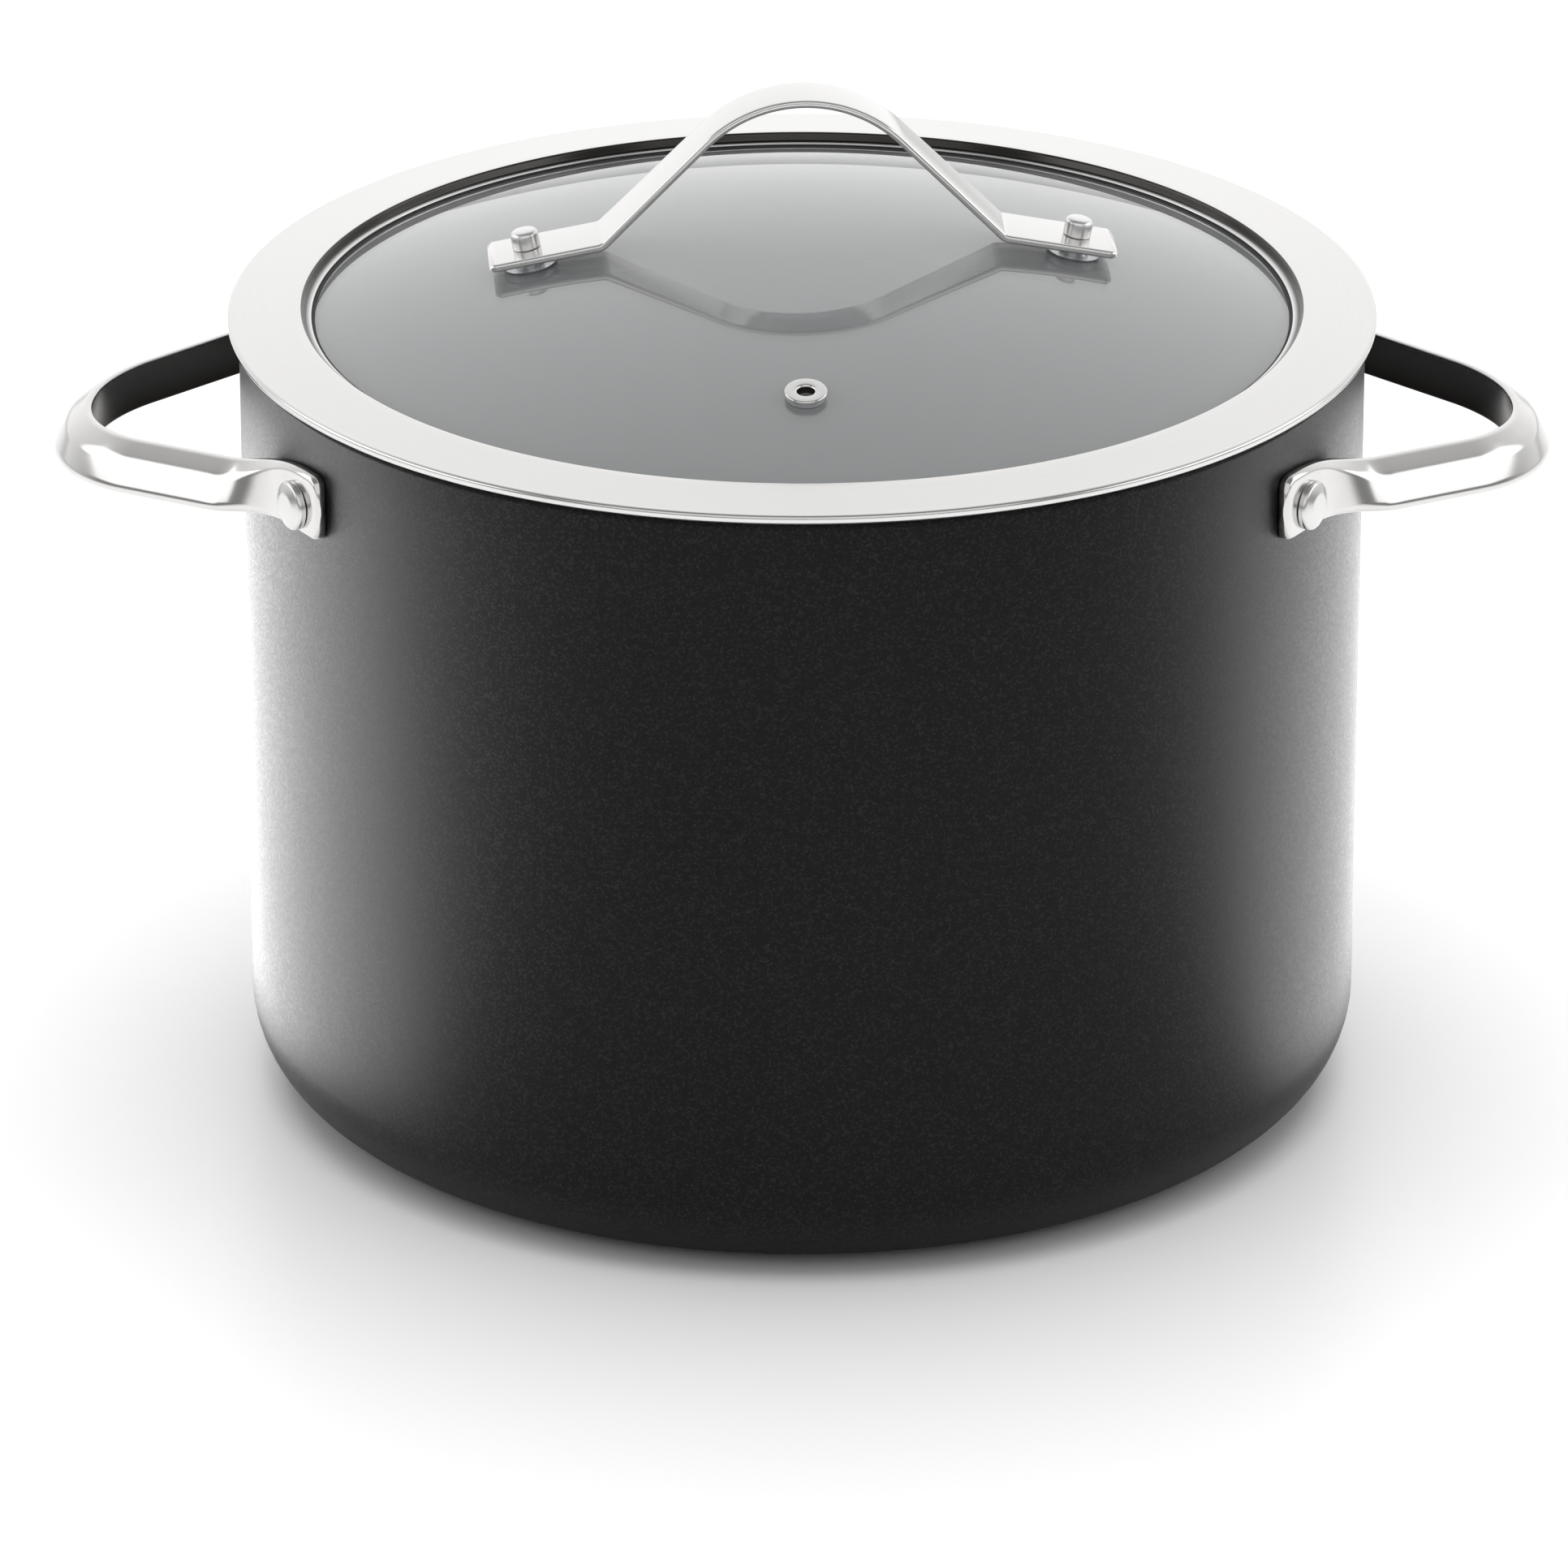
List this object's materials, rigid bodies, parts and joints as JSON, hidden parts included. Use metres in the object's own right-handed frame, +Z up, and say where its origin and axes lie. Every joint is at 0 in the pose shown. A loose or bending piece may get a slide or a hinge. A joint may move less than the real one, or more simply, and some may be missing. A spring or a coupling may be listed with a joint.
{
  "type": "water bath canner",
  "caption": "Deep round pot with side loop handles, a domed glass lid in a steel band with an arched handle and steam vent, and a wire jar rack with folding handles inside.",
  "frame": {"origin": "centre of the pot's flat base, on the surface that it stands on", "axes": "+Z up through the lid, +X towards the right side handle, -Y towards the front, where the lid's vent is"},
  "size_m": [0.3742, 0.2854, 0.259],
  "materials": {
    "anodised_aluminium": "dark hard-anodised, fine sparkle",
    "cast_steel": "polished cast stainless",
    "rivet_steel": "satin",
    "band_steel": "satin, brushed round",
    "tempered_glass": "clear, polished",
    "silicone": "matt",
    "strap_steel": "polished",
    "stud_steel": "polished",
    "clear_washer": "clear, smooth",
    "eyelet_steel": "polished",
    "rack_wire": "bright plated wire"
  },
  "bodies": {
    "pot": {"pot_body": "anodised_aluminium", "handle_rivet_left_front": "rivet_steel", "handle_rivet_left_rear": "rivet_steel", "handle_rivet_right_front": "rivet_steel", "handle_rivet_right_rear": "rivet_steel", "side_handle_left": "cast_steel", "side_handle_right": "cast_steel"},
    "lid": {"lid_gasket": "silicone", "lid_glass": "tempered_glass", "lid_handle": "strap_steel", "lid_rim": "band_steel", "lid_stud_left": "stud_steel", "lid_stud_right": "stud_steel", "lower_washer_left": "silicone", "lower_washer_right": "silicone", "stud_nut_left": "stud_steel", "stud_nut_right": "stud_steel", "upper_washer_left": "clear_washer", "upper_washer_right": "clear_washer", "vent_eyelet": "eyelet_steel", "vent_grommet": "silicone"},
    "rack": {"rack_hoop": "rack_wire", "rack_inner_ring": "rack_wire", "rack_cross_wires": "rack_wire", "rack_feet": "rack_wire", "rack_eyes_left": "rack_wire", "rack_eyes_right": "rack_wire"},
    "rack_handle_left": {"rack_handle_left": "rack_wire"},
    "rack_handle_right": {"rack_handle_right": "rack_wire"}
  },
  "joints": [
    {"name": "lid_lift", "type": "slide", "parent": "pot", "child": "lid", "axis": [0, 0, 1], "range_m": [0, 0.26]},
    {"name": "rack_lift", "type": "slide", "parent": "pot", "child": "rack", "axis": [0, 0, 1], "range_m": [0, 0.221]},
    {"name": "rack_handle_left_fold", "type": "hinge", "parent": "rack", "child": "rack_handle_left", "pos_m": [-0.118, 0, 0.0215], "axis": [0, -1, 0], "range_deg": [0, 92]},
    {"name": "rack_handle_right_fold", "type": "hinge", "parent": "rack", "child": "rack_handle_right", "pos_m": [0.118, 0, 0.0215], "axis": [0, 1, 0], "range_deg": [0, 92]}
  ],
  "couplings": [
    {"joint": "rack_lift", "follows": "lid_lift", "ratio": 0.85}
  ]
}
